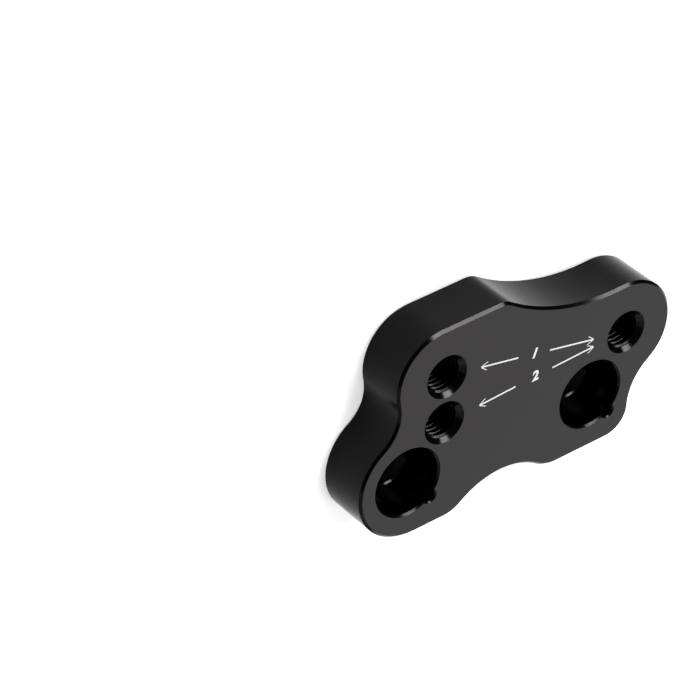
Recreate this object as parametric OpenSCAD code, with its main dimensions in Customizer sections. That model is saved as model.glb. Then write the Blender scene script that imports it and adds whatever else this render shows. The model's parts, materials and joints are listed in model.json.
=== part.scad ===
/* [Plate] */
// Thickness of the plate
plate_t = 12.5; // [10.5:0.1:18]
// Height of the straight top edge above the line through the two riser bolts
top_y = 31.5; // [29:0.1:36]
// Depth of the two straight bottom edges below the bolt line
bottom_y = 12.8; // [11:0.1:15]
// Chamfer round the rim of the upper face
face_chamfer = 0.55; // [0.2:0.05:1.2]
// Chamfer round the rim of the underside
underside_chamfer = 1.0; // [0.3:0.05:2]

/* [Riser bolts] */
// Distance between the two riser bolts
bolt_pitch = 45; // [40:0.5:50]
// Diameter of the clearance hole under each bolt head
bolt_hole_d = 8.5; // [6.5:0.1:10]
// Chamfer on the clearance hole at the underside
bolt_hole_chamfer = 0.6; // [0.2:0.05:1]
// Diameter of the counterbore that takes each bolt head
counterbore_d = 14.8; // [14:0.1:17]
// Depth of the counterbore from the upper face
counterbore_depth = 7; // [4:0.1:9]
// Chamfer on the counterbore at the upper face
counterbore_chamfer = 0.4; // [0.1:0.05:0.8]
// Edge break where the clearance hole meets the counterbore floor
floor_break = 0.3; // [0.1:0.05:0.6]

/* [Tapped holes] */
// Distance from the right tapped hole to each of the two left ones
bar_pitch = 45; // [42:0.5:49]
// Rise of the upper setting, from the right tapped hole to the upper left one
upper_setting = 12.2; // [10:0.1:14]
// Drop of the lower setting, from the right tapped hole to the lower left one
lower_setting = 1.2; // [0:0.1:3]
// Right tapped hole: its place to the right of the right riser bolt
tapped_offset_x = 9.1; // [8:0.1:11]
// Right tapped hole: its height above the bolt line
tapped_offset_y = 11.1; // [10:0.1:13]
// Major diameter of the thread
tapped_d = 8; // [5:0.5:10]
// Chamfer on both mouths of each tapped hole
tapped_chamfer = 0.75; // [0.3:0.05:1]

/* [Pin holes] */
// Diameter of the small hole beside each riser bolt
pin_d = 2.8; // [2:0.1:4]
// Distance from the bolt's axis to the pin hole's axis
pin_reach = 7.7; // [6.8:0.1:8.5]
// Direction of the left pin hole, in degrees below the bolt line
pin_angle_left = 49.7; // [30:0.1:70]
// Direction of the right pin hole, in degrees below the bolt line
pin_angle_right = 54.7; // [30:0.1:70]
// Chamfer on both mouths of each pin hole
pin_chamfer = 0.3; // [0.1:0.05:0.5]

/* [Outline] */
// Centre of the lower left lobe, to the right of the left riser bolt
lower_left_x = 0.9; // [-1:0.1:3]
// Centre of the lower left lobe, below the bolt line
lower_left_y = 0.55; // [-1:0.05:1.5]
// Centre of the upper left lobe, to the left of the upper tapped hole
upper_left_x = 0.3; // [-0.5:0.1:2]
// Centre of the upper left lobe, below the upper tapped hole
upper_left_y = 0.4; // [-0.5:0.1:2]
// Radius of the lobe round the right tapped hole
right_lobe_r = 11.3; // [9:0.1:13]
// Radius of the rounded corner at the lower right
corner_r = 6.1; // [4:0.1:8]
// Centre of that corner, to the right of the right riser bolt
corner_x = 3.9; // [2.5:0.1:6]
// Radius of the hollow between the two left lobes
left_hollow_r = 8.9; // [6:0.1:12]
// Radius of the hollow between the right lobe and the lower right corner
right_hollow_r = 11.8; // [9:0.1:17]
// Radius of the long hollow that falls from the top edge to the right lobe
top_hollow_r = 42.8; // [36:0.1:50]
// Where the long hollow leaves the right lobe, in degrees left of its top
top_hollow_angle = 2.8; // [0:0.1:6]
// Rounding of the corner between the top edge and the long hollow
top_blend_r = 4.5; // [1:0.5:8]
// Radius of the hollow in the bottom edge
bottom_hollow_r = 16.2; // [14:0.1:24]
// Rise of the hollow in the bottom edge
bottom_hollow_rise = 4.6; // [2:0.1:6]
// Centre of the hollow in the bottom edge, to the left of the midpoint of the bolts
bottom_hollow_x = 0.3; // [-1:0.1:1]
// Rounding of the two corners between the bottom edge and its hollow
bottom_blend_r = 8; // [2:0.5:10]

/* [Hidden] */
$fn = 120;

// A cutter starts and ends this far outside the faces that it opens
past = 1;
// Each round of the outline stands this little proud, so that no sliver is left where it meets an edge
proud = 0.0005;

// Hole places, from the origin midway between the riser bolts on the underside
left_bolt = [-bolt_pitch / 2, 0];
right_bolt = [bolt_pitch / 2, 0];
right_tap = right_bolt + [tapped_offset_x, tapped_offset_y];
upper_tap = right_tap + bar_pitch * [-cos(upper_setting), sin(upper_setting)];
lower_tap = right_tap - bar_pitch * [cos(lower_setting), sin(lower_setting)];
left_pin = left_bolt + pin_reach * [cos(pin_angle_left), -sin(pin_angle_left)];
right_pin = right_bolt + pin_reach * [cos(pin_angle_right), -sin(pin_angle_right)];

// The two left lobes and the corner touch the straight edges, which sets their radii or heights
lower_left = left_bolt + [lower_left_x, -lower_left_y];
lower_left_r = lower_left.y + bottom_y;
upper_left = upper_tap - [upper_left_x, upper_left_y];
upper_left_r = top_y - upper_left.y;
corner = right_bolt + [corner_x, corner_r - bottom_y];

// Each hollow touches the rounds at its ends, so the outline runs on without a step
left_hollow = touching(lower_left, lower_left_r, upper_left, upper_left_r, left_hollow_r, 1);
right_hollow = touching(corner, corner_r, right_tap, right_lobe_r, right_hollow_r, -1);
top_hollow = right_tap + (right_lobe_r + top_hollow_r) * [-sin(top_hollow_angle), cos(top_hollow_angle)];
bottom_hollow = [-bottom_hollow_x, bottom_hollow_rise - bottom_y - bottom_hollow_r];

// Each blend touches a straight edge and the hollow that breaks it
top_blend = beside(top_hollow, top_hollow_r, top_blend_r, top_y - top_blend_r, -1);
left_blend = beside(bottom_hollow, bottom_hollow_r, bottom_blend_r, bottom_blend_r - bottom_y, -1);
right_blend = beside(bottom_hollow, bottom_hollow_r, bottom_blend_r, bottom_blend_r - bottom_y, 1);

// Centre of the round of radius r at height y that touches the round at a, on the right of a if side is 1
function beside(a, a_r, r, y, side) = [a.x + side * sqrt(pow(a_r + r, 2) - pow(y - a.y, 2)), y];

// Centre of the round of radius r that touches the rounds at a and b, on the left of a to b if side is 1
function touching(a, a_r, b, b_r, r, side) =
    let (gap = norm(b - a),
         to_b = (b - a) / gap,
         along = (pow(gap, 2) + pow(a_r + r, 2) - pow(b_r + r, 2)) / (2 * gap),
         out = sqrt(pow(a_r + r, 2) - pow(along, 2)))
    a + along * to_b + side * out * [-to_b.y, to_b.x];

// A round of the outline, with the rim chamfers turned on it
module lobe(centre, r) {
    rim_r = r + proud;
    translate(centre)
        rotate_extrude()
            polygon([[0, 0], [rim_r - underside_chamfer, 0], [rim_r, underside_chamfer],
                     [rim_r, plate_t - face_chamfer], [rim_r - face_chamfer, plate_t], [0, plate_t]]);
}

// A straight wall of radius r with a 45 degree flare at the underside and at the upper face
module flared_cutter(centre, r, low, high)
    translate(centre)
        rotate_extrude()
            polygon([[0, -past], [r + low + past, -past], [r, low], [r, plate_t - high],
                     [r + high + past, plate_t + past], [0, plate_t + past]]);

module hollow(centre, r) flared_cutter(centre, r, underside_chamfer, face_chamfer);

module tapped_hole(centre) flared_cutter(centre, tapped_d / 2, tapped_chamfer, tapped_chamfer);

module pin_hole(centre) flared_cutter(centre, pin_d / 2, pin_chamfer, pin_chamfer);

// Clearance hole and counterbore in one turned section
module bolt_hole(centre) {
    hole_r = bolt_hole_d / 2;
    head_r = counterbore_d / 2;
    floor_z = plate_t - counterbore_depth;
    translate(centre)
        rotate_extrude()
            polygon([[0, -past], [hole_r + bolt_hole_chamfer + past, -past],
                     [hole_r, bolt_hole_chamfer], [hole_r, floor_z - floor_break],
                     [hole_r + floor_break, floor_z], [head_r, floor_z],
                     [head_r, plate_t - counterbore_chamfer],
                     [head_r + counterbore_chamfer + past, plate_t + past], [0, plate_t + past]]);
}

// Flat bar along X whose long edges are already chamfered
module bar() {
    reach = bolt_pitch + bar_pitch;
    rotate([90, 0, 90])
        translate([0, 0, -reach])
            linear_extrude(2 * reach)
                polygon([[-bottom_y + underside_chamfer, 0], [top_y - underside_chamfer, 0],
                         [top_y, underside_chamfer], [top_y, plate_t - face_chamfer],
                         [top_y - face_chamfer, plate_t], [-bottom_y + face_chamfer, plate_t],
                         [-bottom_y, plate_t - face_chamfer], [-bottom_y, underside_chamfer]]);
}

// The part of the bar between the lobes and blends, cut through the centres of these and of the hollows
module web()
    intersection() {
        bar();
        linear_extrude(plate_t)
            polygon([lower_left, [lower_left.x, -bottom_y], [left_blend.x, -bottom_y], left_blend,
                     bottom_hollow, right_blend, [right_blend.x, -bottom_y], [corner.x, -bottom_y],
                     corner, right_hollow, right_tap, top_hollow, top_blend, [top_blend.x, top_y],
                     [upper_left.x, top_y], upper_left, left_hollow]);
    }

module blank() {
    difference() {
        web();
        hollow(left_hollow, left_hollow_r);
        hollow(right_hollow, right_hollow_r);
        hollow(top_hollow, top_hollow_r);
        hollow(bottom_hollow, bottom_hollow_r);
    }
    lobe(lower_left, lower_left_r);
    lobe(upper_left, upper_left_r);
    lobe(corner, corner_r);
    lobe(right_tap, right_lobe_r);
    lobe(top_blend, top_blend_r);
    lobe(left_blend, bottom_blend_r);
    lobe(right_blend, bottom_blend_r);
}

module riser_plate()
    color("#2b2b2d")
        difference() {
            blank();
            for (bolt = [left_bolt, right_bolt]) bolt_hole(bolt);
            for (tap = [right_tap, upper_tap, lower_tap]) tapped_hole(tap);
            for (pin = [left_pin, right_pin]) pin_hole(pin);
        }

riser_plate();
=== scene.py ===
import json
import math

import bpy
from mathutils import Matrix, Vector


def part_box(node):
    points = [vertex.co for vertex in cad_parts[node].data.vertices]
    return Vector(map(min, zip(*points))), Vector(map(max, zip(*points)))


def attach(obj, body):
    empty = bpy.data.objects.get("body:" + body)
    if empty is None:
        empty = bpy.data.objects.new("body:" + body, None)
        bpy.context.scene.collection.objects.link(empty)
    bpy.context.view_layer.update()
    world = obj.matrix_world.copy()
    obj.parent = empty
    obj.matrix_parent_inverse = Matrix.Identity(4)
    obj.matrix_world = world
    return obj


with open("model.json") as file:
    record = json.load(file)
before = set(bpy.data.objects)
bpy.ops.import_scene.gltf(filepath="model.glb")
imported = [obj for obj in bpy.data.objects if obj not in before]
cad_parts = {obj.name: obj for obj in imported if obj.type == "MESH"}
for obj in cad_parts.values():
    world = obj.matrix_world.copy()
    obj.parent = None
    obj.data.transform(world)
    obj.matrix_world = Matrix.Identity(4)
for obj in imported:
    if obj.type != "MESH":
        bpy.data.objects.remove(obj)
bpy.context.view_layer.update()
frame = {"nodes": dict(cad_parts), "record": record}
MM = 0.001


# The plate
# One piece of aluminium, milled to its outline, drilled, tapped and chamfered, then anodised black.
# The dyed oxide is a hard satin skin: near black head on, and a soft grey mirror along its walls.
PLATE_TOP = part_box("riser_plate")[1].z


def linear(code):
    """An sRGB hex colour as the linear colour that a shader socket takes."""
    parts = [int(code[i:i + 2], 16) / 255 for i in (1, 3, 5)]
    return (*(p / 12.92 if p <= 0.04045 else ((p + 0.055) / 1.055) ** 2.4 for p in parts), 1.0)


def add(tree, kind, links=(), **settings):
    """Adds one node. A setting is a property, or an input by its name with spaces as underscores."""
    node = tree.nodes.new(kind)
    for name, value in settings.items():
        if hasattr(node, name):
            setattr(node, name, value)
        else:
            node.inputs[name.replace("_", " ")].default_value = value
    for source, output, name in links:
        tree.links.new(source.outputs[output], node.inputs[name])
    return node


def new_material(name):
    material = bpy.data.materials.new(name)
    material.use_nodes = True
    material.node_tree.nodes.clear()
    return material, material.node_tree


def black_anodised_aluminium():
    # A metal under dyed oxide: it reflects under one part in a hundred head on and much more at a slant
    # A fine even blasted grain, 0.05 mm across, is drawn at 0.25 mm so that it shows at this size
    # Handling leaves patches 8 mm across where the skin is a little smoother
    material, tree = new_material("satin_black_anodising")
    place = add(tree, "ShaderNodeTexCoord")
    grain = add(tree, "ShaderNodeTexNoise", [(place, "Object", "Vector")],
                Scale=1 / (0.25 * MM), Detail=2.0, Roughness=0.6)
    patches = add(tree, "ShaderNodeTexNoise", [(place, "Object", "Vector")],
                  Scale=1 / (8 * MM), Detail=3.0, Roughness=0.5)
    gloss = add(tree, "ShaderNodeMapRange", [(patches, "Fac", "Value")])
    gloss.inputs["To Min"].default_value = 0.17
    gloss.inputs["To Max"].default_value = 0.21
    relief = add(tree, "ShaderNodeBump", [(grain, "Fac", "Height")], Strength=0.06, Distance=0.02 * MM)
    skin = add(tree, "ShaderNodeBsdfPrincipled",
               [(gloss, "Result", "Roughness"), (relief, "Normal", "Normal")],
               Base_Color=linear("#131212"), Metallic=1.0, Specular_Tint=linear("#dedede"))
    add(tree, "ShaderNodeOutputMaterial", [(skin, "BSDF", "Surface")])
    return material


anodised = black_anodised_aluminium()
plate = frame["nodes"]["riser_plate"]
plate.data.materials.clear()
plate.data.materials.append(anodised)


# The threads
# M8 turns cut by a tap in the three clamp screw holes, so they are part of the plate and anodised with it.
# Each is one ridge wound up the hole, with the broad flat crest of a hole bored wide before tapping, and
# cut off at both ends by the hole's countersinks.
PITCH = 1.25 * MM
MINOR_R = 3.6 * MM
BURIED = 0.05 * MM
CREST_W = 0.575 * MM
ROOT_W = PITCH * 7 / 8
STEPS_A_TURN = 48
THREAD_START = math.radians(10)
MOUTH_R = 4.75 * MM
SMOOTH_BELOW = math.radians(12)
BAR_SIDES = 96
BAR_PAST = 4 * BURIED


def deselect():
    if bpy.context.object and bpy.context.object.mode != "OBJECT":
        bpy.ops.object.mode_set(mode="OBJECT")
    bpy.ops.object.select_all(action="DESELECT")


def added(name):
    """The object that an operator has just added, under its own name."""
    made = bpy.context.object
    made.name = made.data.name = name
    return made


def choose(test):
    """Selects the vertices of the mesh in edit mode whose place passes the test."""
    bpy.ops.mesh.select_mode(type="VERT")
    bpy.ops.mesh.select_all(action="DESELECT")
    bpy.ops.object.mode_set(mode="OBJECT")
    for vertex in bpy.context.object.data.vertices:
        vertex.select = test(vertex.co)
    bpy.ops.object.mode_set(mode="EDIT")


def dress(piece, material):
    piece.data.materials.clear()
    piece.data.materials.append(material)
    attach(piece, "root")


def settle():
    """Writes the object's place, turn and size into its mesh."""
    bpy.ops.object.transform_apply(location=True, rotation=True, scale=True)


def thread_ridge(name, major_r, turned):
    """One ridge wound round the Z axis, from below the underside to above the upper face."""
    deselect()
    bpy.ops.mesh.primitive_plane_add(size=1)
    ridge = added(name)
    ridge.scale = (major_r + BURIED - MINOR_R, ROOT_W, 1)
    ridge.rotation_euler = (math.pi / 2, 0, 0)
    ridge.location = ((major_r + BURIED + MINOR_R) / 2, 0, 0)
    settle()
    bpy.ops.object.mode_set(mode="EDIT")
    choose(lambda co: co.x < major_r - BURIED)
    bpy.ops.transform.resize(value=(1, 1, CREST_W / ROOT_W), center_override=(0, 0, 0))
    bpy.ops.object.mode_set(mode="OBJECT")
    turns = ridge.modifiers.new("turns", "SCREW")
    turns.steps = turns.render_steps = STEPS_A_TURN
    turns.screw_offset = PITCH
    turns.iterations = math.ceil(PLATE_TOP / PITCH) + 2
    bpy.ops.object.modifier_apply(modifier=turns.name)
    ridge.location.z = -PITCH
    ridge.rotation_euler.z = turned
    settle()
    bpy.ops.object.mode_set(mode="EDIT")
    bpy.ops.mesh.select_mode(type="EDGE")
    bpy.ops.mesh.select_all(action="SELECT")
    bpy.ops.mesh.remove_doubles(threshold=1e-7)
    bpy.ops.mesh.select_all(action="DESELECT")
    bpy.ops.mesh.select_non_manifold()
    bpy.ops.mesh.edge_face_add()
    bpy.ops.mesh.select_all(action="SELECT")
    bpy.ops.mesh.normals_make_consistent(inside=False)
    bpy.ops.object.mode_set(mode="OBJECT")
    return ridge


def between_countersinks(major_r):
    """A round bar whose ends are hollow cones that carry on the countersinks."""
    deselect()
    bar_r = major_r + BAR_PAST
    reach = PLATE_TOP - 2 * (MOUTH_R - bar_r)
    bpy.ops.mesh.primitive_cylinder_add(vertices=BAR_SIDES, radius=bar_r, depth=reach,
                                        location=(0, 0, PLATE_TOP / 2), end_fill_type="TRIFAN")
    bar = added("between_countersinks")
    settle()
    bpy.ops.object.mode_set(mode="EDIT")
    for side in (-1, 1):
        choose(lambda co: co.xy.length < BURIED and (co.z - PLATE_TOP / 2) * side > 0)
        bpy.ops.transform.translate(value=(0, 0, -side * bar_r))
    bpy.ops.object.mode_set(mode="OBJECT")
    return bar


tapped = [m for m in frame["record"]["mounts"] if m["kind"] == "threaded_hole"]
for hole in tapped:
    radius = hole["dims"]["r_mm"] * MM
    ridge = thread_ridge("thread_" + hole["name"].split("_")[0], radius, THREAD_START)
    bar = between_countersinks(radius)
    trim = ridge.modifiers.new("trim", "BOOLEAN")
    trim.operation = "INTERSECT"
    trim.solver = "EXACT"
    trim.object = bar
    deselect()
    bpy.context.view_layer.objects.active = ridge
    ridge.select_set(True)
    bpy.ops.object.modifier_apply(modifier=trim.name)
    bpy.data.objects.remove(bar)
    ridge.location = (hole["pos_m"][0], hole["pos_m"][1], 0)
    settle()
    bpy.ops.object.shade_smooth_by_angle(angle=SMOOTH_BELOW)
    dress(ridge, anodised)


# The markings
# A laser bleaches the dye out of the oxide and leaves a pale matt line in the upper face.
# Two double arrows show which left hole the bar clamp's screw goes in, and each has a plain number.
LINE_W = 0.34 * MM
MARK_T = 0.012 * MM
BARB = 1.5 * MM
BARB_TURN = math.radians(30)
FIGURE_H = 3.1 * MM
FIGURE_BOLDER = 0.035 * FIGURE_H
FIGURE_SLANT = 0.2


def laser_marking():
    # Bleached oxide scatters light like chalk
    # The laser's passes, 0.06 mm apart, leave it slightly uneven, which is drawn at 0.3 mm so that it shows
    material, tree = new_material("laser_bleached_oxide")
    place = add(tree, "ShaderNodeTexCoord")
    passes = add(tree, "ShaderNodeTexNoise", [(place, "Object", "Vector")],
                 Scale=1 / (0.3 * MM), Detail=2.0)
    tone = add(tree, "ShaderNodeValToRGB", [(passes, "Fac", "Fac")])
    tone.color_ramp.elements[0].color = linear("#80807f")
    tone.color_ramp.elements[1].color = linear("#8f8f8d")
    skin = add(tree, "ShaderNodeBsdfPrincipled", [(tone, "Color", "Base Color")], Roughness=0.75)
    add(tree, "ShaderNodeOutputMaterial", [(skin, "BSDF", "Surface")])
    return material


marking = laser_marking()


def stroke_out(side, turn, reach):
    """Draws one edge of the square at the arrow's tip out into a stroke."""
    just_inside = 0.9 * LINE_W / 2
    choose(lambda co: co.x * side[0] + co.y * side[1] > just_inside and abs(co.x) < LINE_W)
    away = Matrix.Rotation(turn, 3, "Z") @ Vector((-reach, 0, 0))
    bpy.ops.mesh.extrude_region_move(TRANSFORM_OT_translate={"value": away})


def arrow(name, tip, tail):
    """A line that ends in an open arrowhead at the tip."""
    deselect()
    bpy.ops.mesh.primitive_plane_add(size=LINE_W)
    mark = added(name)
    tip, tail = Vector(tip) * MM, Vector(tail) * MM
    bpy.ops.object.mode_set(mode="EDIT")
    stroke_out((0, 1), -BARB_TURN, BARB)
    stroke_out((0, -1), BARB_TURN, BARB)
    stroke_out((-1, 0), 0, (tip - tail).length - LINE_W / 2)
    bpy.ops.mesh.select_all(action="SELECT")
    bpy.ops.mesh.extrude_region_move(TRANSFORM_OT_translate={"value": (0, 0, MARK_T)})
    bpy.ops.mesh.select_all(action="SELECT")
    bpy.ops.mesh.normals_make_consistent(inside=False)
    bpy.ops.object.mode_set(mode="OBJECT")
    along = tip - tail
    mark.rotation_euler.z = math.atan2(along.y, along.x)
    mark.location = (*tip, PLATE_TOP)
    settle()
    dress(mark, marking)


def figure(name, text, centre, turn):
    """A slanted bold figure, flat on the upper face."""
    deselect()
    bpy.ops.object.text_add()
    mark = added(name)
    mark.data.body = text
    mark.data.align_x = mark.data.align_y = "CENTER"
    mark.data.size = FIGURE_H
    mark.data.shear = FIGURE_SLANT
    mark.data.offset = FIGURE_BOLDER
    mark.data.extrude = MARK_T / 2
    bpy.ops.object.convert(target="MESH")
    mark.location = (centre[0] * MM, centre[1] * MM, PLATE_TOP + MARK_T / 2)
    mark.rotation_euler.z = math.radians(turn)
    settle()
    dress(mark, marking)


UPPER_TURN = -12.6
LOWER_TURN = 1.2
arrow("upper_arrow_left", (-4.1, 19.09), (4.67, 17.23))
arrow("upper_arrow_right", (23.19, 13.13), (12.47, 15.49))
arrow("lower_arrow_left", (-4.76, 10.3), (3.92, 10.66))
arrow("lower_arrow_right", (23.17, 11.33), (13.02, 11))
figure("upper_figure", "1", (8.6, 16.4), UPPER_TURN)
figure("lower_figure", "2", (8.7, 10.9), LOWER_TURN)


# The floor
# Plain matt white, and wide enough to fill every view.
FLOOR_SIDE = 12


def white_floor():
    # Emulsion paint: a plain scatter with no gloss, and a faint unevenness 40 mm across
    material, tree = new_material("matt_white_paint")
    place = add(tree, "ShaderNodeTexCoord")
    clouds = add(tree, "ShaderNodeTexNoise", [(place, "Object", "Vector")], Scale=1 / (40 * MM))
    tone = add(tree, "ShaderNodeValToRGB", [(clouds, "Fac", "Fac")])
    tone.color_ramp.elements[0].color = linear("#c3c3c3")
    tone.color_ramp.elements[1].color = linear("#c5c5c5")
    skin = add(tree, "ShaderNodeBsdfDiffuse", [(tone, "Color", "Color")])
    add(tree, "ShaderNodeOutputMaterial", [(skin, "BSDF", "Surface")])
    return material


deselect()
bpy.ops.mesh.primitive_plane_add(size=FLOOR_SIDE)
floor = added("floor")
settle()
floor.data.materials.append(white_floor())


# The light
# The upper face mirrors a broad softbox, the rim's chamfers mirror a bright level strip, and the flanks
# of the threads a dimmer one. Low lights, which nothing mirrors, whiten the floor that the walls mirror.
AIM = Vector((0.005, 0.009, 0.012))


def softbox(name, direction, distance, width, height, radiance):
    data = bpy.data.lights.new(name, "AREA")
    data.shape = "RECTANGLE"
    data.size, data.size_y = width, height
    data.energy = radiance * math.pi * width * height
    box = bpy.data.objects.new(name, data)
    bpy.context.scene.collection.objects.link(box)
    away = Vector(direction).normalized()
    box.location = AIM + away * distance
    box.rotation_mode = "QUATERNION"
    box.rotation_quaternion = away.to_track_quat("Z", "Y")
    box.visible_camera = False
    return box


def panel(name, low, high, rise, radiance):
    """A softbox that hangs level at one height, from one corner to the other."""
    middle = Vector(((low[0] + high[0]) / 2, (low[1] + high[1]) / 2, rise))
    box = softbox(name, middle, middle.length, high[0] - low[0], high[1] - low[1], radiance)
    box.rotation_quaternion = (1, 0, 0, 0)


softbox("face_softbox", (0.45, -0.59, 0.67), 0.7, 0.44, 0.44, 5.9)
softbox("face_softbox_high", (0.312, -0.41, 0.857), 0.7, 0.44, 0.44, 1.2)
softbox("left_fill", (-0.67, -0.59, 0.45), 0.7, 0.5, 0.4, 1.2)
softbox("front_fill", (-0.2, -0.95, 0.3), 0.8, 0.6, 0.3, 1.35)
floor_lights = [softbox("floor_light_left", (-0.95, -0.1, 0.3), 0.8, 0.6, 0.3, 19),
                softbox("floor_light_corner", (-0.75, 0.55, 0.35), 0.8, 0.6, 0.3, 12),
                softbox("floor_light_rear", (0, 0.95, 0.3), 0.8, 0.6, 0.3, 16)]
for light in floor_lights:
    light.visible_glossy = False
panel("edge_strip", (0.12, 0.59), (0.74, 0.71), 0.6, 72)
panel("thread_strip", (0.12, 0.05), (0.72, 0.18), 0.6, 27)

world = bpy.data.worlds.new("studio")
bpy.context.scene.world = world
world.use_nodes = True
surround = world.node_tree.nodes["Background"]
surround.inputs["Color"].default_value = linear("#ffffff")
surround.inputs["Strength"].default_value = 0.2


# The camera
# A long lens from the left rear, 42 degrees up and turned on its axis, so that the plate, which lies
# flat on the floor, is seen as it stands in the photograph.
AZIMUTH, ELEVATION, ROLL = math.radians(-142.605), math.radians(42.1), math.radians(128.252)
CAMERA_PLACE = Vector((-298.51, 382.70, 405.79)) * MM
IMAGE_PX = 700
FOCAL_PX = 3193
SENSOR_W = 36

camera_data = bpy.data.cameras.new("camera")
camera_data.sensor_width = SENSOR_W
camera_data.lens = SENSOR_W * FOCAL_PX / IMAGE_PX
camera_data.clip_start, camera_data.clip_end = 0.01, 50
camera_data.shift_x, camera_data.shift_y = -0.5 / IMAGE_PX, 0.5 / IMAGE_PX
camera = bpy.data.objects.new("camera", camera_data)
bpy.context.scene.collection.objects.link(camera)
camera.matrix_world = (Matrix.Translation(CAMERA_PLACE) @ Matrix.Rotation(AZIMUTH, 4, "Z")
                       @ Matrix.Rotation(math.pi / 2 - ELEVATION, 4, "X") @ Matrix.Rotation(ROLL, 4, "Z"))
bpy.context.scene.camera = camera
bpy.context.scene.view_settings.view_transform = "Standard"
